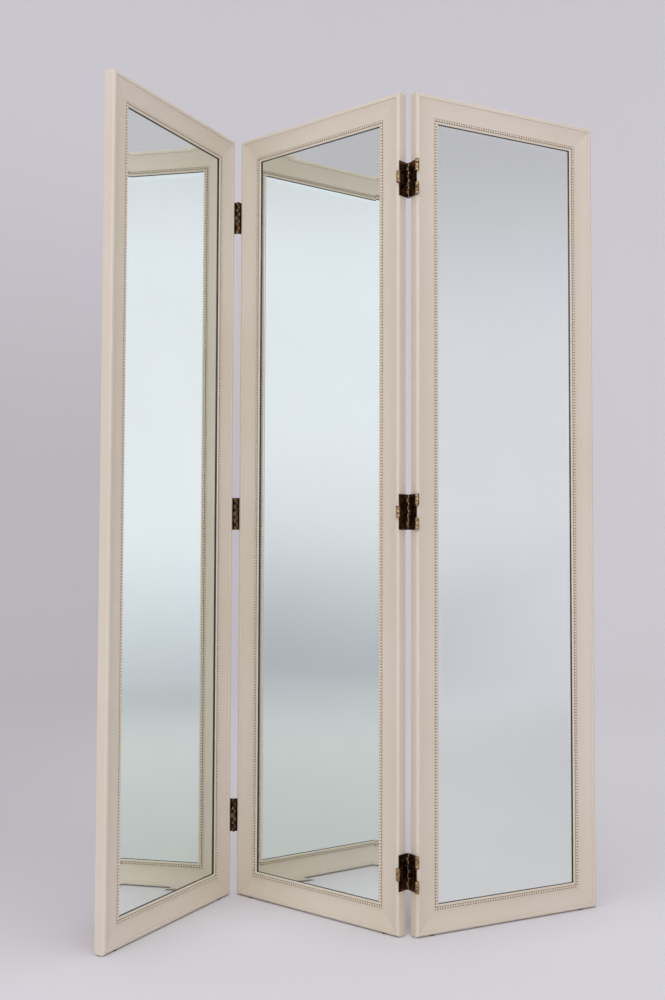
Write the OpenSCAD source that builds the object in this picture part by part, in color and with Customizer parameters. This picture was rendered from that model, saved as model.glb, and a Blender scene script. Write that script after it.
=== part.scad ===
// Three-fold dressing screen: three framed mirrors joined by double-acting screen hinges.
// Millimetres, +Z up, the front of the screen towards -Y, origin on the floor under the middle of its footprint.
// Each panel is built flat in its own frame: x across from its left edge, y back from its front, z up from its bottom.

/* [Panels] */
// Width of each panel
panel_w = 480; // [420:5:560]
// Height of each panel
panel_h = 1798; // [1750:1:1900]
// Thickness of each panel
panel_t = 24; // [24:1:28]
// Height of the floor glides under each panel
glide_h = 2; // [1:0.5:4]

/* [Folding] */
// Angle between the mirror faces of the left and middle panels
left_angle = 76; // [60:1:100]
// Angle between the backs of the middle and right panels
right_angle = 112; // [90:1:140]
// Turn of the middle panel away from facing the front
middle_turn = -40; // [-45:1:-35]

/* [Frame moulding] */
// Face width of the moulding
frame_w = 60; // [60:1:80]
// Radius of the rounded outer edge
rim_r = 5; // [3:0.5:6]
// Width of the raised rim along the outer edge
rim_w = 10; // [8:0.5:14]
// Depth of the scoop below the front beside the rim
scoop_start = 2.2; // [1:0.1:3]
// Depth of the scoop below the front beside the fillet
scoop_end = 7.4; // [6.5:0.1:8]
// Radius of the scoop
scoop_r = 110; // [80:5:200]
// Width of the fillet beside the beads
fillet_w = 2; // [1:0.5:3]
// Depth of the fillet below the front
fillet_depth = 6.2; // [5:0.1:6.4]
// Width of the sight-edge lip beside the mirror
lip_w = 5; // [4:0.5:6]
// Depth of the lip below the front
lip_depth = 7; // [6:0.5:8]
// Radius of the lip's inner edge
lip_r = 3; // [1:0.5:3]

/* [Beading] */
// Diameter of the pearl beads
bead_d = 5; // [4:0.5:6]
// Width of the channel that holds the beading
channel_w = 6; // [6:0.5:8]
// Depth of the channel's floor below the front
channel_depth = 8.2; // [8:0.1:9]
// Thickness of the strip that the beads stand on
bead_base = 1; // [0.5:0.1:1.5]

/* [Mirror and back] */
// Width of the rabbet behind the lip
rabbet_w = 8; // [7:0.5:9]
// Gap between the glass and the rabbet's wall
glass_gap = 1; // [0.5:0.1:1.5]
// Depth of the lip's back below the front
lip_back = 12.1; // [12:0.1:13]
// Thickness of the mirror glass
glass_t = 4; // [4:0.5:5]
// Width of the bevel around the glass
bevel_w = 19; // [12:1:30]
// Drop of the bevel at the glass edge
bevel_drop = 2.2; // [1:0.1:2.5]
// Thickness of the back board
board_t = 3; // [2:0.5:3]

/* [Hinges] */
// Height of each hinge
hinge_h = 76; // [70:1:90]
// Heights of the left fold's hinges above the panel bottom
left_heights = [184, 895, 1610]; // [100:1:1700]
// Heights of the right fold's hinges above the panel bottom
right_heights = [131, 890, 1610]; // [100:1:1700]
// Gap between the panel edges that the hinges fill
hinge_gap = 6; // [6:0.2:8]
// How far the hinge axes stand out from the panel faces
axis_out = 6; // [5.5:0.5:8]
// Radius of the hinge knuckles
knuckle_r = 4.5; // [4:0.1:5]
// Radius of the hinge pins
pin_r = 2; // [1.5:0.1:2.5]
// Thickness of the leaves on the panel edges
leaf_t = 1.6; // [1.4:0.1:1.8]
// Thickness of the straps between the leaves
strap_t = 2; // [1.6:0.1:2]

/* [Fixings] */
// Radius of a screw's shank
shank_r = 1.4; // [1.2:0.1:1.6]
// Radius of a screw's head
head_r = 2.9; // [2.5:0.1:3.2]
// Length of a screw
screw_l = 14; // [10:1:16]
// Width of the clips that hold the back board
clip_w = 12; // [8:1:16]
// Radius of a floor glide
glide_r = 9; // [7:0.5:10]
// Distance of the glides from the panel's side edges
glide_inset = 42; // [36:1:80]

/* [Hidden] */
PANELS = ["left", "middle", "right"];
LINES = ["left", "right"];
ROWS = ["bottom", "centre", "top"];
MEMBERS = ["left_stile", "right_stile", "top_rail", "bottom_rail"];
FITTINGS = ["beading", "mirror", "back_board", "corner_splines", "back_clips", "screws", "hinge_pins", "floor_glides"];
HINGE_PIECES = ["outer_leaf", "inner_leaf", "middle_strap", "outer_straps"];
$fn = 48;

// clearances
running = 0.05;
knuckle_gap = 0.3;
third_gap = 0.2;
barrel_gap = 0.4;
pilot_gap = 0.05;
slot_gap = 0.1;
bead_gap = 0.05;
cut = 1;

// moulding section, measured in from the panel's edge
lip_start = frame_w - lip_w;
channel_start = lip_start - channel_w;
fillet_start = channel_start - fillet_w;
bead_centre = channel_start + channel_w / 2;
scoop_chord = [scoop_end - scoop_start, fillet_start - rim_w];
scoop_half = norm(scoop_chord) / 2;
scoop_middle = [scoop_start, rim_w] + scoop_chord / 2;
scoop_normal = [-scoop_chord[1], scoop_chord[0]] / norm(scoop_chord);
scoop_centre = scoop_middle + scoop_normal * sqrt(scoop_r * scoop_r - scoop_half * scoop_half);
rabbet_start = frame_w - rabbet_w;

// glass and board: the bevel meets the back of the lip at the sight edge
glass_edge = rabbet_start + glass_gap;
glass_front = lip_back - bevel_drop * (1 - (rabbet_w - glass_gap) / bevel_w);
glass_back = glass_front + glass_t;
board_back = glass_back + board_t;

// hinge knuckles: three thirds, each with three knuckles
third_h = (hinge_h - 2 * third_gap) / 3;
third_step = third_h + third_gap;
knuckle_h = (third_h - 2 * knuckle_gap) / 3;
knuckle_step = knuckle_h + knuckle_gap;
front_axis = -axis_out;
back_axis = panel_t + axis_out;
barrel_reach = knuckle_r + barrel_gap;
leaf_inset = 0.3;

// fixings
clip_rows = [0.14, 0.38, 0.62, 0.86];
clip_reach = 10;
clip_flange = 13;
clip_screw_in = 6;
spline_t = 3;
spline_l = 36;
spline_w = 24;
spline_depth = 14;
spline_centre = 28;
nail_r = 1.2;
nail_l = 12;
pilot_extra = 1;

// plan of the folded screen, before it is centred: the middle panel's front left corner is at zero
left_turn = middle_turn + 180 - left_angle;
right_turn = middle_turn + 180 - right_angle;
function turned(p, a) = [p[0] * cos(a) - p[1] * sin(a), p[0] * sin(a) + p[1] * cos(a)];
left_axis = turned([-hinge_gap / 2, front_axis], middle_turn);
right_axis = turned([panel_w + hinge_gap / 2, back_axis], middle_turn);
function on_left(p) = left_axis + turned(p - [panel_w + hinge_gap / 2, front_axis], left_turn);
function on_right(p) = right_axis + turned(p - [-hinge_gap / 2, back_axis], right_turn);
x_low = on_left([0, panel_t])[0];
x_high = on_right([panel_w - rim_r, rim_r])[0] + rim_r;
y_low = on_left([rim_r, rim_r])[1] - rim_r;
y_left_panel = on_left([panel_w + hinge_gap / 2, back_axis])[1];
y_middle_panel = turned([-hinge_gap / 2, back_axis], middle_turn)[1];
y_high = max(y_left_panel, y_middle_panel) + knuckle_r;
centre = [(x_low + x_high) / 2, (y_low + y_high) / 2];

// turn and place of a panel in the folded screen
function turn_of(panel) = panel == "left" ? left_turn : panel == "right" ? right_turn : middle_turn;
function place_of(panel) =
    (panel == "left" ? on_left([0, 0]) : panel == "right" ? on_right([0, 0]) : [0, 0]) - centre;

// hinge lines of a panel: where they lie across it, and their heights
function lines_of(panel) = panel == "left" ? ["left"] : panel == "right" ? ["right"] : ["left", "right"];
function heights_of(line) = line == "left" ? left_heights : right_heights;
function is_left_leaf(line, panel) = line == "left" ? panel == "left" : panel == "middle";
function line_x(line, panel) = is_left_leaf(line, panel) ? panel_w + hinge_gap / 2 : -hinge_gap / 2;

module on_panel(panel) {
    translate([place_of(panel)[0], place_of(panel)[1], glide_h])
        rotate(turn_of(panel))
            children();
}

module on_hinge(line, panel, height) {
    translate([line_x(line, panel), 0, height - hinge_h / 2])
        children();
}

module on_hinges(panel) {
    for (line = lines_of(panel), height = heights_of(line))
        on_hinge(line, panel, height)
            if (is_left_leaf(line, panel)) children();
            else rotate_leaf() children();
}

// turns a leaf on the left panel of a hinge into the one on its right panel
module rotate_leaf() {
    translate([0, panel_t, 0])
        rotate(180)
            children();
}

// ---- frame members ----

// section of the moulding: x is the depth from the front, y is the distance in from the edge
module moulding_section() {
    difference() {
        square([panel_t, frame_w]);
        corner_cut(rim_r);
        translate([0, rim_w])
            mirror([0, 1])
                corner_cut(rim_r / 2);
        scoop_cut();
        translate([-cut, fillet_start])
            square([cut + fillet_depth, fillet_w + cut]);
        translate([-cut, channel_start])
            square([cut + channel_depth, channel_w]);
        translate([-cut, lip_start])
            square([cut + lip_depth, lip_w + cut]);
        translate([lip_depth, frame_w])
            mirror([0, 1])
                corner_cut(lip_r);
        translate([lip_back, rabbet_start])
            square([panel_t, rabbet_w + cut]);
    }
}

// what is cut off a square corner at zero to round it
module corner_cut(r) {
    difference() {
        translate([-cut, -cut])
            square([r + cut, r + cut]);
        translate([r, r])
            circle(r);
    }
}

module scoop_cut() {
    intersection() {
        translate(scoop_centre)
            circle(scoop_r, $fn = 180);
        translate([-cut, rim_w])
            square([panel_t, fillet_start - rim_w]);
    }
}

// a mitred length of a section, lying along x with its outer edge on the x axis, and cut short by gap at its ends
module mitred(length, gap = 0) {
    intersection() {
        rotate([90, 0, 90])
            linear_extrude(length)
                children();
        translate([0, panel_t + cut, 0])
            rotate([90, 0, 0])
                linear_extrude(panel_t + 2 * cut)
                    polygon([
                        [gap, 0],
                        [length - gap, 0],
                        [length - gap - frame_w, frame_w],
                        [gap + frame_w, frame_w]
                    ]);
    }
}

module at_member(member) {
    if (member == "left_stile") translate([0, 0, panel_h]) rotate([0, 90, 0]) children();
    if (member == "right_stile") translate([panel_w, 0, 0]) rotate([0, -90, 0]) children();
    if (member == "top_rail") translate([panel_w, 0, panel_h]) rotate([0, 180, 0]) children();
    if (member == "bottom_rail") children();
}

function is_member(piece) = len([for (m = MEMBERS) if (m == piece) m]) > 0;
function length_of(member) = member == "left_stile" || member == "right_stile" ? panel_h : panel_w;

module frame_member(panel, member) {
    color("antiquewhite")
        difference() {
            at_member(member)
                mitred(length_of(member))
                    moulding_section();
            splines(slot_gap);
            on_hinges(panel)
                leaf_screws(shank_r + pilot_gap, pilot_extra, false);
            clip_screws(shank_r + pilot_gap, pilot_extra, false);
            glides(nail_r + pilot_gap, 0, pilot_extra);
        }
}

// ---- fittings of a panel ----

module beading() {
    color("ivory")
        for (member = MEMBERS)
            at_member(member)
                mitred(length_of(member), bead_gap)
                    bead_section();
}

module bead_section() {
    floor_x = channel_depth - bead_base;
    intersection() {
        union() {
            translate([floor_x, channel_start])
                square([bead_base, channel_w]);
            translate([floor_x, bead_centre])
                circle(d = bead_d);
        }
        translate([0, channel_start])
            square([channel_depth, channel_w]);
    }
}

// outline across the glass, with its bevelled edges, extruded along the other way
module bevelled(size, length) {
    linear_extrude(length)
        polygon([
            [0, glass_back],
            [0, glass_front + bevel_drop],
            [bevel_w, glass_front],
            [size - bevel_w, glass_front],
            [size, glass_front + bevel_drop],
            [size, glass_back]
        ]);
}

module mirror_glass() {
    glass_w = panel_w - 2 * glass_edge;
    glass_h = panel_h - 2 * glass_edge;
    color("lightsteelblue")
        translate([glass_edge, 0, glass_edge])
            intersection() {
                bevelled(glass_w, glass_h);
                rotate([0, -90, 0])
                    translate([0, 0, -glass_w])
                        bevelled(glass_h, glass_w);
            }
}

module back_board() {
    color("peru")
        translate([glass_edge, glass_back, glass_edge])
            cube([panel_w - 2 * glass_edge, board_t, panel_h - 2 * glass_edge]);
}

// the four hidden splines that lock the mitres; gap widens them into their slots
module splines(gap) {
    for (x = [0, 1], z = [0, 1])
        translate([x * panel_w, spline_depth - gap, z * panel_h])
            mirror([x, 0, 0])
                mirror([0, 0, z])
                    translate([spline_centre, 0, spline_centre])
                        rotate([0, 45, 0])
                            translate([-spline_w / 2 - gap, 0, -spline_l / 2 - gap])
                                cube([spline_w + 2 * gap, spline_t + 2 * gap, spline_l + 2 * gap]);
}

module corner_splines() {
    color("burlywood")
        splines(0);
}

// the places of the back clips: on each stile and in the middle of each rail, x running in from the edge
module at_clips() {
    for (row = clip_rows) {
        translate([0, 0, row * panel_h])
            children();
        translate([panel_w, 0, row * panel_h])
            rotate([0, 180, 0])
                children();
    }
    for (z = [0, panel_h])
        translate([panel_w / 2, 0, z])
            rotate([0, z == 0 ? -90 : 90, 0])
                children();
}

module back_clips() {
    rise = rabbet_start + 0.2;
    color("gray")
        at_clips()
            difference() {
                translate([0, 0, -clip_w / 2])
                    linear_extrude(clip_w)
                        polygon([
                            [rise - clip_flange, panel_t],
                            [rise, panel_t],
                            [rise, board_back],
                            [rise + clip_reach, board_back],
                            [rise + clip_reach, board_back + leaf_t],
                            [rise + leaf_t, board_back + leaf_t],
                            [rise + leaf_t, panel_t + leaf_t],
                            [rise - clip_flange, panel_t + leaf_t]
                        ]);
                one_clip_screw(shank_r + pilot_gap, pilot_extra, true, running);
            }
}

// a countersunk screw along -z with its head's face at zero
module screw(r, extra, headed, grow = 0) {
    translate([0, 0, -screw_l - extra])
        cylinder(h = screw_l + extra + (headed ? 0 : cut), r = r);
    if (headed)
        translate([0, 0, -leaf_t])
            cylinder(h = leaf_t, r1 = shank_r + grow, r2 = head_r + grow);
}

module one_clip_screw(r, extra, headed, grow = 0) {
    translate([rabbet_start - clip_screw_in, panel_t + leaf_t, 0])
        rotate([-90, 0, 0])
            screw(r, extra, headed, grow);
}

module clip_screws(r, extra, headed) {
    at_clips()
        one_clip_screw(r, extra, headed);
}

// the three screws of a leaf on the left panel of a hinge
module leaf_screws(r, extra, headed, grow = 0) {
    for (third = [0, 1, 2])
        translate([leaf_t - hinge_gap / 2, panel_t / 2, third * third_step + third_h / 2])
            rotate([0, 90, 0])
                screw(r, extra, headed, grow);
}

module screws(panel) {
    color("saddlebrown") {
        on_hinges(panel)
            leaf_screws(shank_r, 0, true);
        clip_screws(shank_r, 0, true);
    }
}

// nail-on floor glides, or with a disc radius of zero just the holes for their nails
module glides(r_nail, r_disc, extra) {
    for (x = [glide_inset, panel_w - glide_inset])
        translate([x, panel_t / 2, 0]) {
            translate([0, 0, -glide_h / 2])
                cylinder(h = nail_l + extra + glide_h / 2, r = r_nail);
            if (r_disc > 0)
                translate([0, 0, -glide_h])
                    cylinder(h = glide_h, r = r_disc);
        }
}

module floor_glides() {
    color("dimgray")
        glides(nail_r, glide_r, 0);
}

// ---- double-acting hinges ----
// Flat, a hinge has x across the gap from its middle and y from the front faces. Its front axis is in
// front of the faces and its back axis behind them. Thirds 0 and 2 are the outer ones, third 1 is the middle one.

module knuckle(third, k, y) {
    translate([0, y, third * third_step + k * knuckle_step])
        cylinder(h = knuckle_h, r = knuckle_r);
}

module pin(third, y, r, longer) {
    translate([0, y, third * third_step - longer])
        cylinder(h = third_h + 2 * longer, r = r);
}

// the leaf on the left panel: its middle third turns on the front axis and its outer thirds on the back axis
module leaf() {
    difference() {
        union() {
            leaf_plate(leaf_inset, panel_t - leaf_inset, 0, hinge_h);
            for (third = [0, 1, 2]) {
                y = third == 1 ? front_axis : back_axis;
                near = third == 1 ? front_axis + barrel_reach : panel_t / 2;
                far = third == 1 ? panel_t / 2 : back_axis - barrel_reach;
                leaf_plate(near, far, third * third_step, third_h);
                for (k = [0, 2]) {
                    knuckle(third, k, y);
                    leaf_plate(min(y, near), max(y, far), third * third_step + k * knuckle_step, knuckle_h);
                }
            }
        }
        for (third = [0, 1, 2])
            pin(third, third == 1 ? front_axis : back_axis, pin_r + running, cut);
        leaf_screws(shank_r + pilot_gap, cut, true, running);
    }
}

// a part of the leaf's plate from one depth to another
module leaf_plate(start, end, low, height) {
    translate([-hinge_gap / 2, start, low])
        cube([leaf_t, end - start, height]);
}

// a strap joins the front axis to the back axis in one third, clear of the leaf's knuckles at both ends
module strap(third) {
    low = third * third_step;
    difference() {
        union() {
            translate([-strap_t / 2, front_axis + barrel_reach, low])
                cube([strap_t, back_axis - front_axis - 2 * barrel_reach, third_h]);
            translate([-strap_t / 2, front_axis, low + knuckle_step])
                cube([strap_t, back_axis - front_axis, knuckle_h]);
            for (y = [front_axis, back_axis])
                knuckle(third, 1, y);
        }
        for (y = [front_axis, back_axis])
            pin(third, y, pin_r + running, cut);
    }
}

// the panel that carries a hinge piece
function carrier(line, piece) = piece == "outer_leaf" || piece == "outer_straps" ? line : "middle";

module hinge_piece(line, height, piece) {
    panel = carrier(line, piece);
    color("sienna")
        on_panel(panel)
            on_hinge(line, panel, height) {
                if (piece == "middle_strap") strap(1);
                if (piece == "outer_straps") { strap(0); strap(2); }
                if (piece == "outer_leaf" || piece == "inner_leaf")
                    if (is_left_leaf(line, panel)) leaf();
                    else rotate_leaf() leaf();
            }
}

// a panel carries the pins that its own knuckles hold: each is [line, third, axis]
function pins_of(panel) =
    panel == "middle"
        ? [for (line = LINES, third = [0, 1, 2], axis = [front_axis, back_axis])
            if (third == 1 || axis == (line == "left" ? front_axis : back_axis)) [line, third, axis]]
        : [for (third = [0, 2]) [panel, third, panel == "left" ? back_axis : front_axis]];

module hinge_pins(panel) {
    color("darkgoldenrod")
        for (p = pins_of(panel), height = heights_of(p[0]))
            on_hinge(p[0], panel, height)
                pin(p[1], p[2], pin_r, 0);
}

module panel_piece(panel, piece) {
    on_panel(panel) {
        if (is_member(piece)) frame_member(panel, piece);
        if (piece == "beading") beading();
        if (piece == "mirror") mirror_glass();
        if (piece == "back_board") back_board();
        if (piece == "corner_splines") corner_splines();
        if (piece == "back_clips") back_clips();
        if (piece == "screws") screws(panel);
        if (piece == "hinge_pins") hinge_pins(panel);
        if (piece == "floor_glides") floor_glides();
    }
}

for (p = PANELS, m = concat(MEMBERS, FITTINGS))
    panel_piece(p, m);
for (l = LINES, r = [0, 1, 2], h = HINGE_PIECES)
    hinge_piece(l, heights_of(l)[r], h);
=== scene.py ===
"""Looks of the three-fold mirror screen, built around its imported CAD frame."""
import math
import random

import bpy
import numpy as np
from mathutils import Matrix, Vector


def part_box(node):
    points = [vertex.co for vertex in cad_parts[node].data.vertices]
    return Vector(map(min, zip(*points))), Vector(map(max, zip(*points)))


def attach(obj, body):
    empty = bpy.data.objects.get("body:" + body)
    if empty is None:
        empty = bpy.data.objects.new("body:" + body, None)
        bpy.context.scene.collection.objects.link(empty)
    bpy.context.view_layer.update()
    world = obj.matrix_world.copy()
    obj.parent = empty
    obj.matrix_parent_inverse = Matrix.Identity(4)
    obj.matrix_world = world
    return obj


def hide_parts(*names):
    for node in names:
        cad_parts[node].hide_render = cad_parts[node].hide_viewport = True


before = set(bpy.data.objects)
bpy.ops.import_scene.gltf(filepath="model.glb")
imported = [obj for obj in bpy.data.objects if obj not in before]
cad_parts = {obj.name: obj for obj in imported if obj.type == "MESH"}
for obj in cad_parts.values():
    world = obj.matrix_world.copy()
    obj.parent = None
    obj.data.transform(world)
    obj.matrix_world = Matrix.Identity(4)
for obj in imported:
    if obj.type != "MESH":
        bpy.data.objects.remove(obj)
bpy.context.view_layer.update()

# ---- sizes in metres, which the CAD model shares ----

MM = 0.001
PANELS = ("left", "middle", "right")
MEMBERS = ("left_stile", "right_stile", "top_rail", "bottom_rail")
LINES = ("left", "right")
ROWS = ("bottom", "centre", "top")
HINGE_PIECES = ("outer_leaf", "outer_straps", "inner_leaf", "middle_strap")

FRAME_W = 60 * MM
RIM_W = 10 * MM
CHANNEL_START = 49 * MM
CHANNEL_W = 6 * MM
LIP_START = 55 * MM
RABBET_START = 52 * MM
LIP_BACK = 12.1 * MM
BEAD_LINE = 52 * MM
BEAD_FLOOR = 8.2 * MM
BEAD_BASE = 1.0 * MM
BEAD_R = 2.8 * MM
BEAD_PITCH = 6.44 * MM
LEAF_T = 1.6 * MM
THIRD_H = 25.2 * MM
THIRD_STEP = 25.4 * MM
CLIP_SCREW_IN = 46 * MM
SCREW_L = 14 * MM
SHANK_R = 1.4 * MM
HEAD_R = 2.9 * MM
CLIP_ROWS = (0.14, 0.38, 0.62, 0.86)
THIRDS = 3


def points_of(node):
    """Every vertex of a CAD node, as rows of x, y, z."""
    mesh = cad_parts[node].data
    flat = np.zeros(len(mesh.vertices) * 3, np.float32)
    mesh.vertices.foreach_get("co", flat)
    return flat.reshape(-1, 3).astype(float)


class Panel:
    """One framed mirror and its own axes.

    They run across from its left edge, back from its front and up from its bottom.
    """

    def __init__(self, name):
        self.name = name
        self.body = f"{name}_panel"
        board = points_of(self.node("back_board"))
        glass = points_of(self.node("mirror"))
        middle = board.mean(axis=0)
        across = np.linalg.svd((board - middle)[:, :2], full_matrices=False)[2][0]
        back = np.array([-across[1], across[0]])
        if back @ (middle - glass.mean(axis=0))[:2] < 0:
            across, back = -across, -back
        edges = np.vstack([points_of(self.node(m)) for m in MEMBERS])
        low = [(edges[:, :2] @ across).min(), (edges[:, :2] @ back).min(), edges[:, 2].min()]
        high = [(edges[:, :2] @ across).max(), (edges[:, :2] @ back).max(), edges[:, 2].max()]
        self.width, self.depth, self.height = (h - l for h, l in zip(high, low))
        self.across = Vector((*across, 0))
        self.back = Vector((*back, 0))
        self.origin = self.across * low[0] + self.back * low[1] + Vector((0, 0, low[2]))
        self.angle = math.atan2(across[1], across[0])
        self.matrix = Matrix.Translation(self.origin) @ Matrix.Rotation(self.angle, 4, "Z")

    def node(self, piece):
        return f"{self.name}_panel_{piece}"


panels = {name: Panel(name) for name in PANELS}


# ---- materials ----

class Shader:
    """A material, with short ways to add nodes to it."""

    def __init__(self, name):
        self.material = bpy.data.materials.new(name)
        self.material.use_nodes = True
        self.tree = self.material.node_tree
        self.tree.nodes.clear()
        self.surface = self.add("ShaderNodeBsdfPrincipled")
        output = self.add("ShaderNodeOutputMaterial")
        self.tree.links.new(self.surface.outputs[0], output.inputs["Surface"])

    def add(self, kind, inputs=None, **settings):
        node = self.tree.nodes.new(kind)
        for key, value in settings.items():
            setattr(node, key, value)
        for key, value in (inputs or {}).items():
            if isinstance(value, bpy.types.NodeSocket):
                self.tree.links.new(value, node.inputs[key])
            else:
                node.inputs[key].default_value = value
        return node

    def set(self, **inputs):
        """Sets or links sockets of the surface; a name's underscores stand for spaces."""
        for key, value in inputs.items():
            socket = self.surface.inputs[key.replace("_", " ")]
            if isinstance(value, bpy.types.NodeSocket):
                self.tree.links.new(value, socket)
            else:
                socket.default_value = value

    def math(self, operation, a, b=0.0):
        return self.add("ShaderNodeMath", {0: a, 1: b}, operation=operation).outputs[0]

    def vector(self, x, y, z):
        return self.add("ShaderNodeCombineXYZ", {0: x, 1: y, 2: z}).outputs[0]

    def noise(self, vector, scale, detail=3.0, roughness=0.5):
        inputs = {"Vector": vector, "Scale": scale, "Detail": detail, "Roughness": roughness}
        return self.add("ShaderNodeTexNoise", inputs).outputs[0]

    def between(self, value, low, high, to_low=0.0, to_high=1.0):
        """Maps low..high to to_low..to_high smoothly, and holds the ends."""
        inputs = {"Value": value, "From Min": low, "From Max": high, "To Min": to_low, "To Max": to_high}
        return self.add("ShaderNodeMapRange", inputs, interpolation_type="SMOOTHSTEP").outputs[0]

    def band(self, value, middle, half, soft):
        """1 within half of middle, falling to 0 over soft."""
        away = self.math("ABSOLUTE", self.math("SUBTRACT", value, middle))
        return self.between(away, half, half + soft, 1.0, 0.0)

    def mix(self, factor, a, b):
        node = self.add("ShaderNodeMix", data_type="RGBA")
        for socket, value in ((node.inputs[0], factor), (node.inputs[6], a), (node.inputs[7], b)):
            if isinstance(value, bpy.types.NodeSocket):
                self.tree.links.new(value, socket)
            else:
                socket.default_value = value if isinstance(value, float) else (*value, 1.0)
        return node.outputs[2]

    def bump(self, height, distance, strength, normal=None):
        inputs = {"Height": height, "Distance": distance, "Strength": strength}
        if normal is not None:
            inputs["Normal"] = normal
        return self.add("ShaderNodeBump", inputs).outputs[0]

    def place(self):
        return self.add("ShaderNodeTexCoord").outputs["Object"]

    def panel_place(self, panel):
        """Across, back and up in a panel's own axes, in metres."""
        inputs = {"Vector": self.place(), "Location": panel.origin, "Rotation": (0, 0, panel.angle)}
        mapped = self.add("ShaderNodeMapping", inputs, vector_type="TEXTURE")
        return self.add("ShaderNodeSeparateXYZ", {0: mapped.outputs[0]}).outputs[:]


CREAM = (0.732, 0.656, 0.541)
CREAM_WARM = (0.703, 0.618, 0.489)
CREAM_WORN = (0.785, 0.732, 0.640)
PEARL_CROWN_HIGHLIGHT = (0.850, 0.785, 0.660)
DARK_LINE_AND_SHADE = (0.340, 0.260, 0.135)
SIGHT_EDGE_SHADE = (0.022, 0.020, 0.016)
RAW_WOOD = (0.420, 0.290, 0.170)
RAW_WOOD_DARK = (0.330, 0.215, 0.120)
SILVER = (0.870, 0.915, 0.875)
SILVER_DULL = (0.860, 0.905, 0.865)
GLASS_EDGE = (0.100, 0.240, 0.200)

GRAIN_ALONG = 9.0
GRAIN_ACROSS = 900.0
RAIL_GRAIN_SHIFT = 7.3
RUBBED_INSET = 4.5 * MM
RUBBED_HALF = 2.5 * MM
RUBBED_SOFT = 2 * MM
LINE_SOFT = 0.5 * MM
BEAD_GAP_SHADE_TOP = 2.9 * MM
BEAD_GAP_SHADE_FULL = 1.5 * MM
CROWN_HIGHLIGHT_START = 5.4 * MM
CROWN_HIGHLIGHT_FULL = 4.6 * MM
SIGHT_SHADE_START = 8.2 * MM
SIGHT_SHADE_FULL = 9.0 * MM

BEVEL_END = 72 * MM
BEVEL_EDGE_DEPTH = 12.6 * MM
# The bevel turns light by twice this angle. One reflection in the photo fits 0 to 1 degree here,
# where the steeper bevel of the CAD mirror would give about 3.5.
PRISM_LEAN = math.radians(1.0)
RIPPLE = 0.0012


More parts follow.
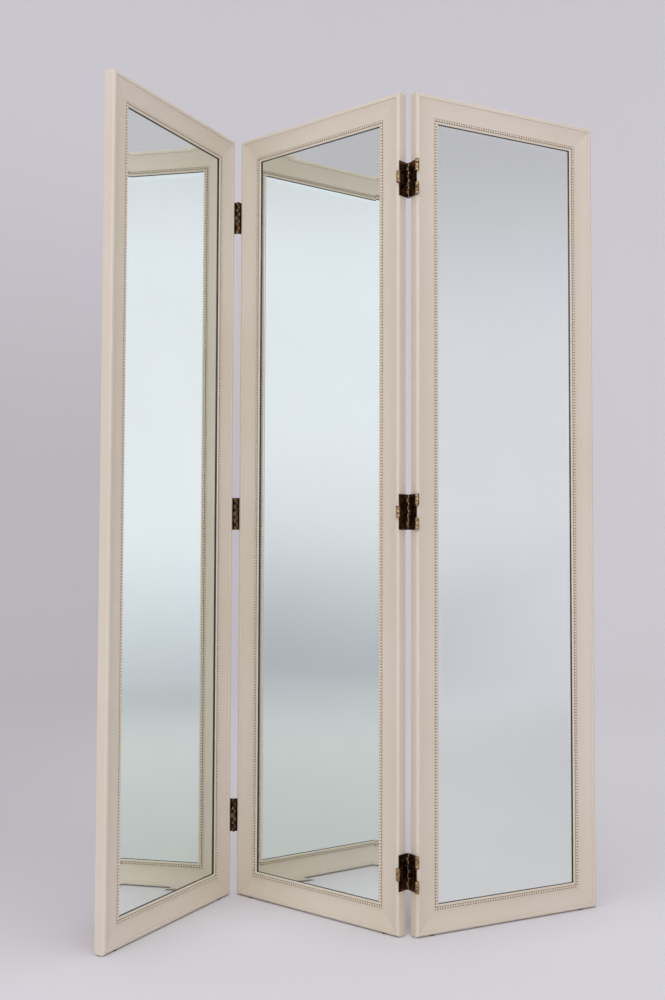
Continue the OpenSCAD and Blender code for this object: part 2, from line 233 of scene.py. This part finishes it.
def paint(panel, name, beads=False):
    """Cream satin paint brushed along each member, darker along its quirk, channel edges and mitre seams, and
    rubbed on its edges. The pearls get painted shade in the gaps between them and a painted highlight on
    their crowns, and the lip's inner wall gets a near-black painted shade.
    """
    s = Shader(f"{panel.name}_{name}")
    across, back, up = s.panel_place(panel)
    side = s.math("MINIMUM", across, s.math("SUBTRACT", panel.width, across))
    end = s.math("MINIMUM", up, s.math("SUBTRACT", panel.height, up))
    inset = s.math("MINIMUM", side, end)
    upright = s.math("LESS_THAN", side, end)
    along_stile = s.math("MULTIPLY", upright, up)
    level = s.math("SUBTRACT", 1.0, upright)
    along_rail = s.math("MULTIPLY", level, s.math("ADD", across, RAIL_GRAIN_SHIFT))
    along = s.math("ADD", along_stile, along_rail)
    grain_place = s.vector(s.math("MULTIPLY", along, GRAIN_ALONG), s.math("MULTIPLY", inset, GRAIN_ACROSS),
                           s.math("MULTIPLY", back, GRAIN_ACROSS))
    brush = s.noise(grain_place, 1.0, 4.0, 0.6)
    fine = s.noise(s.place(), 1400.0, 2.0)
    cloud = s.noise(s.place(), 2.6, 3.0)
    patch = s.noise(s.place(), 21.0, 4.0, 0.6)

    colour = s.mix(s.between(cloud, 0.32, 0.68), CREAM, CREAM_WARM)
    colour = s.mix(s.math("MULTIPLY", s.between(brush, 0.42, 0.72), 0.22), colour, CREAM_WARM)
    colour = s.mix(s.math("MULTIPLY", s.between(patch, 0.55, 0.75), 0.16), colour, CREAM_WORN)

    rubbed = s.math("MULTIPLY", s.band(inset, RUBBED_INSET, RUBBED_HALF, RUBBED_SOFT),
                    s.band(back, 0.0, 1 * MM, RUBBED_SOFT))
    rubbed = s.math("MULTIPLY", rubbed, s.between(patch, 0.42, 0.62))
    colour = s.mix(s.math("MULTIPLY", rubbed, 0.25), colour, CREAM_WORN)

    # Darker lines along the quirk and the channel edges, and along the mitre seams where the members meet.
    quirk = s.band(inset, RIM_W, 0.35 * MM, LINE_SOFT)
    channel = s.math("ADD", s.band(inset, CHANNEL_START, 0.2 * MM, LINE_SOFT),
                     s.band(inset, LIP_START, 0.2 * MM, LINE_SOFT))
    seam = s.band(s.math("SUBTRACT", side, end), 0.0, 0.12 * MM, 0.3 * MM)
    dark_lines_and_shade = s.math("MAXIMUM", s.math("MULTIPLY", quirk, 0.08), s.math("MULTIPLY", channel, 0.22))
    dark_lines_and_shade = s.math("MAXIMUM", dark_lines_and_shade, s.math("MULTIPLY", seam, 0.25))
    dark_lines_and_shade = s.math("MULTIPLY", dark_lines_and_shade, s.between(patch, 0.25, 0.6, 0.6, 1.0))
    # On the pearls, painted shade darkens the low gaps between them, in place of the darker lines.
    if beads:
        low = s.between(back, BEAD_FLOOR - BEAD_GAP_SHADE_TOP, BEAD_FLOOR - BEAD_GAP_SHADE_FULL)
        dark_lines_and_shade = s.math("MULTIPLY", low, 0.90)
        # Painted highlight: the pearls' crowns are lighter than the rest of the paint.
        colour = s.mix(s.between(back, CROWN_HIGHLIGHT_START, CROWN_HIGHLIGHT_FULL), colour, PEARL_CROWN_HIGHLIGHT)
    colour = s.mix(dark_lines_and_shade, colour, DARK_LINE_AND_SHADE)

    # Painted shade: a near-black band on the lip's inner wall beside the glass, standing in for the shadowed
    # rabbet seen in the mirror.
    sight_shade = s.between(inset, FRAME_W - 0.5 * MM, FRAME_W - 0.25 * MM)
    sight_shade = s.math("MULTIPLY", sight_shade, s.between(back, SIGHT_SHADE_START, SIGHT_SHADE_FULL))
    colour = s.mix(sight_shade, colour, SIGHT_EDGE_SHADE)
    behind = s.math("MULTIPLY", s.between(back, LIP_BACK - 0.1 * MM, LIP_BACK),
                    s.between(inset, RABBET_START - 0.1 * MM, RABBET_START))
    wood = s.mix(s.between(brush, 0.3, 0.7), RAW_WOOD, RAW_WOOD_DARK)
    colour = s.mix(behind, colour, wood)
    rear = s.between(back, panel.depth - 0.3 * MM, panel.depth - 0.1 * MM)
    thin = s.math("MULTIPLY", rear, s.between(brush, 0.50, 0.66, 0.12, 0.55))
    colour = s.mix(thin, colour, RAW_WOOD)

    normal = s.bump(brush, 0.05 * MM, 0.55)
    normal = s.bump(fine, 0.02 * MM, 0.5, normal)
    normal = s.bump(seam, 0.3 * MM, -0.8, normal)
    s.set(Base_Color=colour, Roughness=s.between(patch, 0.3, 0.7, 0.40, 0.56), Normal=normal)
    s.set(Specular_IOR_Level=0.42)
    return s.material


def silvered_glass(panel):
    """Silvered plate glass.

    Its bevel bends what it shows towards the middle of the glass, as a prism does.
    """
    s = Shader(f"{panel.name}_silvered_glass")
    across, back, up = s.panel_place(panel)
    cloud = s.noise(s.place(), 5.0, 4.0, 0.6)
    wipe = s.noise(s.vector(s.math("MULTIPLY", across, 3.0), s.math("MULTIPLY", up, 60.0), 0.0), 1.0, 3.0)
    haze = s.math("MULTIPLY", s.between(cloud, 0.45, 0.75), s.between(wipe, 0.45, 0.7))
    colour = s.mix(s.between(cloud, 0.3, 0.7), SILVER, SILVER_DULL)
    side = s.math("MINIMUM", across, s.math("SUBTRACT", panel.width, across))
    end = s.math("MINIMUM", up, s.math("SUBTRACT", panel.height, up))
    inset = s.math("MINIMUM", side, end)
    rim = s.between(back, BEVEL_EDGE_DEPTH, BEVEL_EDGE_DEPTH + 0.2 * MM)
    colour = s.mix(rim, colour, GLASS_EDGE)

    bevel = s.math("LESS_THAN", inset, BEVEL_END)
    upright = s.math("LESS_THAN", side, end)
    toward_x = s.math("SIGN", s.math("SUBTRACT", panel.width / 2, across))
    toward_z = s.math("SIGN", s.math("SUBTRACT", panel.height / 2, up))
    lean = s.math("MULTIPLY", bevel, math.tan(PRISM_LEAN))
    lean_x = s.math("MULTIPLY", lean, s.math("MULTIPLY", upright, toward_x))
    lean_z = s.math("MULTIPLY", lean, s.math("MULTIPLY", s.math("SUBTRACT", 1.0, upright), toward_z))
    ripple = s.math("MULTIPLY", s.math("SUBTRACT", s.noise(s.place(), 2.2, 1.0), 0.5), RIPPLE)
    lean_x = s.math("ADD", lean_x, ripple)
    facing = s.vector(s.math("SUBTRACT", s.math("MULTIPLY", lean_x, panel.across.x), panel.back.x),
                      s.math("SUBTRACT", s.math("MULTIPLY", lean_x, panel.across.y), panel.back.y), lean_z)
    turned = s.add("ShaderNodeVectorTransform", {0: facing}, vector_type="NORMAL",
                   convert_from="OBJECT", convert_to="WORLD").outputs[0]
    s.set(Base_Color=colour, Metallic=1.0, Roughness=s.between(haze, 0.0, 1.0, 0.008, 0.035))
    s.set(Normal=turned)
    return s.material


BRONZE_DARK = (0.020, 0.009, 0.004)
BRONZE_BROWN = (0.150, 0.064, 0.016)
BRONZE_GOLD = (0.500, 0.340, 0.165)
CREST = 9.0 * MM
WHOLE_BARREL = 2.0 * MM
# Gold on the knuckles that stand out from the panel: its soft edge, where it starts on each hinge line, and
# how patchy it is. It is partly real wear and partly a painted highlight. The left line gets only a thin
# crest of it, as painted shade, and the right line gets whole barrels of it, as a painted highlight.
GOLD_SOFT = 1.2 * MM
GOLD_WEAR_AND_HIGHLIGHT_START = {"left": CREST, "right": WHOLE_BARREL}
GOLD_WEAR_AND_HIGHLIGHT_PATCHES = {"left": (0.45, 0.60), "right": (0.34, 0.58)}
SCREW_DARK = (0.140, 0.090, 0.050)
SCREW_BRIGHT = (0.360, 0.280, 0.200)


def bronze(panel, line):
    """Dark antique bronze.

    It is rubbed back to gold where hands meet the knuckles that stand out from the panel. This gold is partly
    real wear and partly a painted highlight; the left line gets only a thin crest of it and so stays darker,
    as painted shade.
    """
    s = Shader(f"{panel.name}_{line}_hinge_bronze")
    back = s.panel_place(panel)[1]
    mottle = s.noise(s.place(), 260.0, 4.0, 0.65)
    blotch = s.noise(s.place(), 70.0, 3.0, 0.55)
    patch = s.noise(s.place(), 170.0, 3.0, 0.6)
    fine = s.noise(s.place(), 2200.0, 2.0)
    start = GOLD_WEAR_AND_HIGHLIGHT_START[line]
    front = s.between(back, -start - GOLD_SOFT, -start, 1.0, 0.0)
    rear = s.between(back, panel.depth + start, panel.depth + start + GOLD_SOFT)
    brown = s.math("MULTIPLY", s.between(mottle, 0.30, 0.60), s.between(blotch, 0.42, 0.60))
    colour = s.mix(brown, BRONZE_DARK, BRONZE_BROWN)
    reach = s.math("MAXIMUM", front, rear)
    wear_and_highlight = s.math("MULTIPLY", reach, s.between(patch, *GOLD_WEAR_AND_HIGHLIGHT_PATCHES[line], 0.10, 0.88))
    specks = s.math("MULTIPLY", s.between(mottle, 0.64, 0.74), 0.30)
    colour = s.mix(s.math("MAXIMUM", wear_and_highlight, specks), colour, BRONZE_GOLD)
    rough = s.math("SUBTRACT", s.between(mottle, 0.3, 0.7, 0.44, 0.60), s.math("MULTIPLY", wear_and_highlight, 0.18))
    normal = s.bump(mottle, 0.05 * MM, 0.5)
    normal = s.bump(fine, 0.01 * MM, 0.4, normal)
    s.set(Base_Color=colour, Metallic=1.0, Roughness=rough, Normal=normal)
    s.set(Coat_Weight=0.35, Coat_Roughness=0.2)
    return s.material


def screw_bronze(panel):
    """Bronzed steel, bright where a driver has rubbed it."""
    s = Shader(f"{panel.name}_screw_bronze")
    mottle = s.noise(s.place(), 900.0, 3.0, 0.6)
    rub = s.noise(s.place(), 2600.0, 2.0)
    colour = s.mix(s.between(mottle, 0.35, 0.62), SCREW_DARK, SCREW_BRIGHT)
    s.set(Base_Color=colour, Metallic=1.0, Roughness=s.between(mottle, 0.3, 0.7, 0.42, 0.26))
    s.set(Normal=s.bump(rub, 0.02 * MM, 0.5))
    return s.material


BOARD_DARK = (0.135, 0.075, 0.036)
BOARD_LIGHT = (0.235, 0.145, 0.075)
BOARD_FLECK = (0.055, 0.030, 0.016)
BOARD_CLOUD = (0.200, 0.130, 0.075)
ZINC_LIGHT = (0.520, 0.540, 0.530)
ZINC_DARK = (0.400, 0.420, 0.430)
PLASTIC = (0.030, 0.026, 0.022)
PLASTIC_SCUFFED = (0.085, 0.075, 0.066)
BIRCH_LIGHT = (0.580, 0.420, 0.250)
BIRCH_DARK = (0.450, 0.300, 0.160)


def hardboard(panel):
    """Brown pressed-fibre board, smooth face out."""
    s = Shader(f"{panel.name}_hardboard")
    fibres = s.noise(s.place(), 420.0, 5.0, 0.7)
    flecks = s.noise(s.place(), 1300.0, 2.0)
    cloud = s.noise(s.place(), 4.0, 3.0)
    colour = s.mix(s.between(fibres, 0.35, 0.68), BOARD_DARK, BOARD_LIGHT)
    colour = s.mix(s.math("MULTIPLY", s.between(flecks, 0.60, 0.68), 0.6), colour, BOARD_FLECK)
    colour = s.mix(s.math("MULTIPLY", s.between(cloud, 0.4, 0.7), 0.35), colour, BOARD_CLOUD)
    s.set(Base_Color=colour, Roughness=s.between(cloud, 0.3, 0.7, 0.50, 0.66))
    s.set(Normal=s.bump(fibres, 0.04 * MM, 0.5), Specular_IOR_Level=0.4)
    return s.material


def plated_steel():
    """Zinc-plated strip with a spangle and fine drawing lines."""
    s = Shader("plated_steel")
    spangle = s.add("ShaderNodeTexVoronoi", {"Vector": s.place(), "Scale": 420.0}).outputs["Distance"]
    drawn = s.add("ShaderNodeMapping", {"Vector": s.place(), "Scale": (1.0, 1.0, 40.0)}).outputs[0]
    lines = s.noise(drawn, 90.0)
    colour = s.mix(s.between(spangle, 0.1, 0.7), ZINC_LIGHT, ZINC_DARK)
    s.set(Base_Color=colour, Metallic=1.0, Roughness=s.between(lines, 0.3, 0.7, 0.30, 0.45))
    s.set(Normal=s.bump(lines, 0.02 * MM, 0.5))
    return s.material


def moulded_plastic():
    """Dark moulded plastic with a fine spark-eroded grain and scuffs."""
    s = Shader("moulded_plastic")
    grain = s.noise(s.place(), 1800.0, 2.0)
    scuffs = s.noise(s.place(), 120.0, 5.0, 0.7)
    colour = s.mix(s.between(scuffs, 0.52, 0.70), PLASTIC, PLASTIC_SCUFFED)
    s.set(Base_Color=colour, Roughness=s.between(scuffs, 0.3, 0.7, 0.48, 0.68))
    s.set(Normal=s.bump(grain, 0.03 * MM, 0.6))
    return s.material


def birch():
    """Raw birch of the hidden splines."""
    s = Shader("birch")
    stretched = s.add("ShaderNodeMapping", {"Vector": s.place(), "Scale": (1.0, 1.0, 0.06)}).outputs[0]
    grain = s.noise(stretched, 500.0, 4.0)
    s.set(Base_Color=s.mix(s.between(grain, 0.3, 0.7), BIRCH_LIGHT, BIRCH_DARK))
    s.set(Roughness=s.between(grain, 0.3, 0.7, 0.6, 0.75), Normal=s.bump(grain, 0.05 * MM, 0.5))
    return s.material


def dress(node, material):
    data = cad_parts[node].data
    data.materials.clear()
    data.materials.append(material)


# ---- pieces made here ----

def new_piece(name, vertices, faces, material, smooth):
    """A mesh piece from vertices in the shared frame; smooth has one flag for each face."""
    mesh = bpy.data.meshes.new(name)
    mesh.from_pydata([tuple(v) for v in vertices], [], faces)
    mesh.polygons.foreach_set("use_smooth", smooth)
    mesh.materials.append(material)
    mesh.validate()
    mesh.update()
    piece = bpy.data.objects.new(name, mesh)
    bpy.context.scene.collection.objects.link(piece)
    return piece


class Mould:
    """Collects vertices and faces of one piece before it is made."""

    def __init__(self):
        self.vertices = []
        self.faces = []
        self.smooth = []

    def add(self, vertices, faces, matrix, smooth):
        start = len(self.vertices)
        self.vertices += [matrix @ Vector(v) for v in vertices]
        self.faces += [[start + i for i in face] for face in faces]
        self.smooth += smooth if isinstance(smooth, list) else [smooth] * len(faces)

    def piece(self, name, material):
        return new_piece(name, self.vertices, self.faces, material, self.smooth)


BEAD_SIDES = 12
BEAD_RINGS = 5
CORD_HALF = 0.9 * MM
CORD_TOP_HALF = 0.5 * MM
CORD_SHOULDER = 0.75 * MM
CORD_H = 0.95 * MM


def bead_shape():
    """A pearl: half a ball, with its flat foot at z = 0 and its crown at BEAD_R."""
    around, rings = BEAD_SIDES, BEAD_RINGS
    vertices = []
    for ring in range(rings):
        lift = math.radians(90 * ring / rings)
        for step in range(around):
            turn = 2 * math.pi * step / around
            r = BEAD_R * math.cos(lift)
            vertices.append((r * math.cos(turn), r * math.sin(turn), BEAD_R * math.sin(lift)))
    vertices.append((0, 0, BEAD_R))
    faces = []
    for ring in range(rings - 1):
        for step in range(around):
            after = (step + 1) % around
            low, high = ring * around, (ring + 1) * around
            faces.append([low + step, low + after, high + after, high + step])
    top = (rings - 1) * around
    faces += [[top + step, top + (step + 1) % around, len(vertices) - 1] for step in range(around)]
    faces.append(list(reversed(range(around))))
    return vertices, faces


def bead_places(panel):
    """Centres of the pearls, once round the frame, with one on each mitre."""
    left, right = BEAD_LINE, panel.width - BEAD_LINE
    low, high = BEAD_LINE, panel.height - BEAD_LINE
    corners = [(left, low), (right, low), (right, high), (left, high)]
    places = []
    for (x0, z0), (x1, z1) in zip(corners, corners[1:] + corners[:1]):
        count = round(math.hypot(x1 - x0, z1 - z0) / BEAD_PITCH)
        places += [(x0 + (x1 - x0) * i / count, z0 + (z1 - z0) * i / count) for i in range(count)]
    return places


def bead_strip(panel):
    """The mitred strip that carries the pearls on a low cord, as one closed ring."""
    top = BEAD_FLOOR - BEAD_BASE
    shoulder = top - CORD_SHOULDER
    section = [(CHANNEL_START, BEAD_FLOOR), (CHANNEL_START, top), (BEAD_LINE - CORD_HALF, top),
               (BEAD_LINE - CORD_TOP_HALF, shoulder), (BEAD_LINE, top - CORD_H),
               (BEAD_LINE + CORD_TOP_HALF, shoulder), (BEAD_LINE + CORD_HALF, top),
               (CHANNEL_START + CHANNEL_W, top), (CHANNEL_START + CHANNEL_W, BEAD_FLOOR)]
    vertices = []
    for sx, sz in ((0, 0), (1, 0), (1, 1), (0, 1)):
        for inset, depth in section:
            x = panel.width - inset if sx else inset
            z = panel.height - inset if sz else inset
            vertices.append((x, depth, z))
    n = len(section)
    faces = []
    for corner in range(4):
        here, there = corner * n, (corner + 1) % 4 * n
        faces += [[here + i, there + i, there + (i + 1) % n, here + (i + 1) % n] for i in range(n)]
    return vertices, faces


def pearls(panel, material):
    mould = Mould()
    mould.add(*bead_strip(panel), panel.matrix, False)
    vertices, faces = bead_shape()
    smooth = [True] * (len(faces) - 1) + [False]
    stand = Matrix.Rotation(math.pi / 2, 4, "X")
    for x, z in bead_places(panel):
        place = Matrix.Translation((x, BEAD_FLOOR - BEAD_BASE, z))
        mould.add(vertices, faces, panel.matrix @ place @ stand, smooth)
    piece = mould.piece(f"{panel.name}_pearls", material)
    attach(piece, panel.body)
    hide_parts(panel.node("beading"))


SLOT_HALF = 0.4 * MM
SLOT_DEPTH = 0.6 * MM
ARC_STEPS = 8
TIP_L = 3 * MM


def screw_arc(r, half):
    """A ring of points round a screw, with corners where a slot of this half width would cut it."""
    first = math.asin(half / r)
    turns = [first + (math.pi - 2 * first) * i / ARC_STEPS for i in range(ARC_STEPS + 1)]
    upper = [(r * math.cos(t), r * math.sin(t)) for t in turns]
    return upper + [(-r, 0.0)] + [(-x, -y) for x, y in upper] + [(r, 0.0)]


def screw_shape():
    """A slotted countersunk screw along -z with its head's face at zero."""
    floor_r = HEAD_R - (HEAD_R - SHANK_R) * SLOT_DEPTH / LEAF_T
    rings = [(HEAD_R, 0.0), (floor_r, -SLOT_DEPTH), (SHANK_R, -LEAF_T), (SHANK_R, TIP_L - SCREW_L)]
    vertices = [(x, y, z) for r, z in rings for x, y in screw_arc(r, SLOT_HALF)]
    n = 2 * (ARC_STEPS + 2)
    left, right = ARC_STEPS + 1, n - 1
    upper, lower = list(range(ARC_STEPS + 1)), list(range(left + 1, right))
    faces = [upper, lower]
    for land in (upper, lower):
        faces.append([land[0], land[-1], n + land[-1], n + land[0]])
        faces += [[n + i, n + i + 1, i + 1, i] for i in land[:-1]]
    faces.append([n + i for i in (upper[0], upper[-1], left, lower[0], lower[-1], right)])
    for ring in (1, 2):
        low, high = (ring + 1) * n, ring * n
        faces += [[low + i, low + (i + 1) % n, high + (i + 1) % n, high + i] for i in range(n)]
    vertices.append((0.0, 0.0, -SCREW_L))
    faces += [[3 * n + (i + 1) % n, 3 * n + i, 4 * n] for i in range(n)]
    smooth = [False] * (2 + 2 * (ARC_STEPS + 1) + 1) + [True] * (3 * n)
    return vertices, faces, smooth


def leaf_screw_places(panel):
    """Each leaf screw's head centre and axis in the panel's own frame."""
    for line in LINES:
        for row in ROWS:
            for leaf in ("outer_leaf", "inner_leaf"):
                node = f"{line}_hinge_{row}_{leaf}"
                if (line if leaf == "outer_leaf" else "middle") != panel.name:
                    continue
                low = Vector(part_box(node)[0])
                on_right_edge = panel.name == ("left" if line == "left" else "middle")
                face = panel.width + LEAF_T if on_right_edge else -LEAF_T
                turn = math.pi / 2 if on_right_edge else -math.pi / 2
                for third in range(THIRDS):
                    up = low.z - panel.origin.z + THIRD_H / 2 + third * THIRD_STEP
                    yield (face, panel.depth / 2, up), Matrix.Rotation(turn, 4, "Y")


def clip_screw_places(panel):
    """Each clip screw's head centre and axis in the panel's own frame."""
    out = Matrix.Rotation(-math.pi / 2, 4, "X")
    depth = panel.depth + LEAF_T
    for row in CLIP_ROWS:
        for across in (CLIP_SCREW_IN, panel.width - CLIP_SCREW_IN):
            yield (across, depth, row * panel.height), out
    for up in (CLIP_SCREW_IN, panel.height - CLIP_SCREW_IN):
        yield (panel.width / 2, depth, up), out


def screws(panel, material):
    chance = random.Random(f"{panel.name} screws")
    mould = Mould()
    shape = screw_shape()
    for place, turn in list(leaf_screw_places(panel)) + list(clip_screw_places(panel)):
        slot = Matrix.Rotation(chance.uniform(0, math.pi), 4, "Z")
        mould.add(*shape[:2], panel.matrix @ Matrix.Translation(place) @ turn @ slot, shape[2])
    piece = mould.piece(f"{panel.name}_slotted_screws", material)
    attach(piece, panel.body)
    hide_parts(panel.node("screws"))


WELD_GAP = 0.01 * MM
ARRIS_ANGLE = math.radians(40)
CLIP_ARRIS = 0.3 * MM
HINGE_ARRIS = 0.25 * MM


def soften(node, width):
    """Rounds a metal fitting's arrises a little."""
    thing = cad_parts[node]
    weld = thing.modifiers.new("weld", "WELD")
    weld.merge_threshold = WELD_GAP
    bevel = thing.modifiers.new("arris", "BEVEL")
    bevel.width = width
    bevel.segments = 2
    bevel.limit_method = "ANGLE"
    bevel.angle_limit = ARRIS_ANGLE
    bevel.harden_normals = True


# ---- dressing the frame ----

steel = plated_steel()
plastic = moulded_plastic()
raw_birch = birch()

for panel in panels.values():
    frame_paint = paint(panel, "frame_paint")
    for member in MEMBERS:
        dress(panel.node(member), frame_paint)
    pearls(panel, paint(panel, "bead_paint", beads=True))
    dress(panel.node("mirror"), silvered_glass(panel))
    dress(panel.node("back_board"), hardboard(panel))
    dress(panel.node("corner_splines"), raw_birch)
    dress(panel.node("back_clips"), steel)
    dress(panel.node("floor_glides"), plastic)
    hinge_metal = {line: bronze(panel, line) for line in LINES if panel.name in (line, "middle")}
    dress(panel.node("hinge_pins"), hinge_metal[panel.name if panel.name in LINES else "right"])
    screws(panel, screw_bronze(panel))
    soften(panel.node("back_clips"), CLIP_ARRIS)
    for line in hinge_metal:
        for row in ROWS:
            for piece in HINGE_PIECES:
                carrier = line if piece.startswith("outer") else "middle"
                if carrier == panel.name:
                    node = f"{line}_hinge_{row}_{piece}"
                    dress(node, hinge_metal[line])
                    soften(node, HINGE_ARRIS)


# ---- stage, light and camera ----

FLOOR_R = 4.6
BEND_R = 1.6
WALL_MIDDLE = 3.6
WALL_TOP = 5.6
ROOM_R = FLOOR_R + BEND_R
FLOOR_RINGS = (0.2, 0.45, 0.7, 0.9)
BEND_STEPS = 14
ROOM_SIDES = 96
PAPER = (0.690, 0.672, 0.696)
PAPER_MOTTLE = (0.680, 0.662, 0.686)
SHADOWED_PAPER = (0.500, 0.494, 0.520)
COOL_WASH = (0.94, 0.95, 1.12)
WARM_WASH = (1.06, 0.98, 0.96)
FRONT_WASH = 0.45
HIGH_WASH = 0.17
RIGHT_WASH = 0.19
ROUND_WASH = 0.15
REAR_WASH = 0.025
SKY = (0.93, 0.99, 1.08)
SKY_STRENGTH = 0.48

# Each soft lamp's name, place, the point it faces, its size across and its watts.
LAMPS = (("overhead", (0.0, -1.2, 5.0), (0, 0, 0), 2.4, 30),
         ("left_box", (-3.3, -3.0, 1.7), (0, 0, 0.9), 1.8, 16),
         ("front_box", (0.0, -3.8, 2.1), (0, 0, 0.9), 1.3, 23))

LENS = 42.13
SENSOR = 36.0
CAMERA_PLACE = (-0.046, -2.593, 0.802)
CAMERA_TURN = math.radians(0.43)
CAMERA_TILT = math.radians(92.64)
CAMERA_ROLL = math.radians(0.19)


def studio_paper():
    """Pale lavender-white paper that glows with soft light of its own all round, most on the side the screen
    faces; the glow dims near the screen as painted contact shade, and a painted shadow darkens the paper to
    the left of and behind the screen.
    """
    s = Shader("studio_paper")
    x, y, z = s.add("ShaderNodeSeparateXYZ", {0: s.place()}).outputs[:]

    def both(a, b):
        return s.math("MULTIPLY", a, b)

    cloud = s.noise(s.place(), 0.7, 2.0)
    # Painted shadow of the screen on the paper, to its left and behind it.
    left_rear_shadow = both(both(s.between(x, 0.3, -1.5), s.between(y, -0.9, 0.8)), s.between(z, 4.4, 1.2))
    colour = s.mix(s.between(cloud, 0.3, 0.7), PAPER, PAPER_MOTTLE)
    s.set(Base_Color=s.mix(left_rear_shadow, colour, SHADOWED_PAPER), Roughness=0.9)
    s.set(Specular_IOR_Level=0.1)

    radius = s.math("SQRT", s.math("ADD", both(x, x), both(y, y)))
    forward = s.math("DIVIDE", y, -ROOM_R)
    far = s.between(radius, 1.5, 4.8)
    front = s.between(forward, 0.45, 0.9)
    leaning = s.math("SUBTRACT", z, s.math("MULTIPLY", x, 0.22))
    front_height = both(s.between(leaning, -1.6, 1.5), s.between(z, 2.8, 4.8, 1.0, 0.0))
    right = both(both(s.between(forward, 0.05, 0.3), s.between(forward, 0.5, 0.75, 1.0, 0.0)),
                 s.between(x, -1.0, 1.0))
    right_height = both(s.between(z, -1.0, 0.8), s.between(z, 2.2, 4.0, 1.0, 0.0))

    # The paper's own glow, which stands in for soft lamps.
    cool = both(both(front, s.between(z, 2.6, 4.6)), HIGH_WASH)
    cool = s.math("ADD", cool, both(both(both(front, front_height), far), FRONT_WASH))
    cool = s.math("ADD", cool, both(both(both(right, right_height), far), RIGHT_WASH))
    warm = both(s.math("MAXIMUM", s.between(z, 0.0, 1.2), s.between(y, -3.4, -1.4)), ROUND_WASH)
    warm = s.math("ADD", warm, both(s.between(y, 0.4, 2.4), REAR_WASH))
    wash = s.math("ADD", cool, warm)
    # The glow dims where things stand close over the paper, as painted contact shade.
    open_air = s.add("ShaderNodeAmbientOcclusion", {"Distance": 0.2}, samples=4).outputs["AO"]
    s.set(Emission_Color=s.mix(s.math("DIVIDE", cool, wash), WARM_WASH, COOL_WASH))
    s.set(Emission_Strength=both(wash, open_air))
    return s.material


def backdrop():
    """A round seamless studio: a pale floor that curves up into the walls."""
    steps, sides = BEND_STEPS, ROOM_SIDES
    outline = [(FLOOR_R * f, 0.0) for f in FLOOR_RINGS]
    for i in range(steps + 1):
        a = math.pi / 2 * i / steps
        outline.append((FLOOR_R + BEND_R * math.sin(a), BEND_R * (1 - math.cos(a))))
    outline += [(ROOM_R, WALL_MIDDLE), (ROOM_R, WALL_TOP)]
    vertices = [(0.0, 0.0, 0.0)]
    for r, z in outline:
        vertices += [(r * math.cos(2 * math.pi * s / sides), r * math.sin(2 * math.pi * s / sides), z)
                     for s in range(sides)]
    faces = [[0, 1 + s, 1 + (s + 1) % sides] for s in range(sides)]
    for ring in range(len(outline) - 1):
        low, high = 1 + ring * sides, 1 + (ring + 1) * sides
        faces += [[low + s, high + s, high + (s + 1) % sides, low + (s + 1) % sides] for s in range(sides)]
    new_piece("backdrop", vertices, faces, studio_paper(), [True] * len(faces))


def soft_light(name, place, target, size, watts):
    light = bpy.data.lights.new(name, "AREA")
    light.shape = "DISK"
    light.size = size
    light.energy = watts
    lamp = bpy.data.objects.new(name, light)
    lamp.location = place
    lamp.rotation_euler = (Vector(target) - Vector(place)).to_track_quat("-Z", "Y").to_euler()
    bpy.context.scene.collection.objects.link(lamp)


def sky():
    world = bpy.data.worlds.new("studio")
    world.use_nodes = True
    ground = world.node_tree.nodes["Background"]
    ground.inputs["Color"].default_value = (*SKY, 1.0)
    ground.inputs["Strength"].default_value = SKY_STRENGTH
    bpy.context.scene.world = world


def camera():
    """Stands in front at chest height, just left of the middle, and looks slightly up."""
    data = bpy.data.cameras.new("camera")
    data.lens = LENS
    data.sensor_width = SENSOR
    view = bpy.data.objects.new("camera", data)
    view.location = CAMERA_PLACE
    level = Matrix.Rotation(CAMERA_TURN, 4, "Z") @ Matrix.Rotation(CAMERA_TILT, 4, "X")
    view.rotation_euler = (level @ Matrix.Rotation(CAMERA_ROLL, 4, "Z")).to_euler()
    bpy.context.scene.collection.objects.link(view)
    bpy.context.scene.camera = view


backdrop()
sky()
for lamp in LAMPS:
    soft_light(*lamp)
camera()
bpy.context.scene.view_settings.view_transform = "Standard"
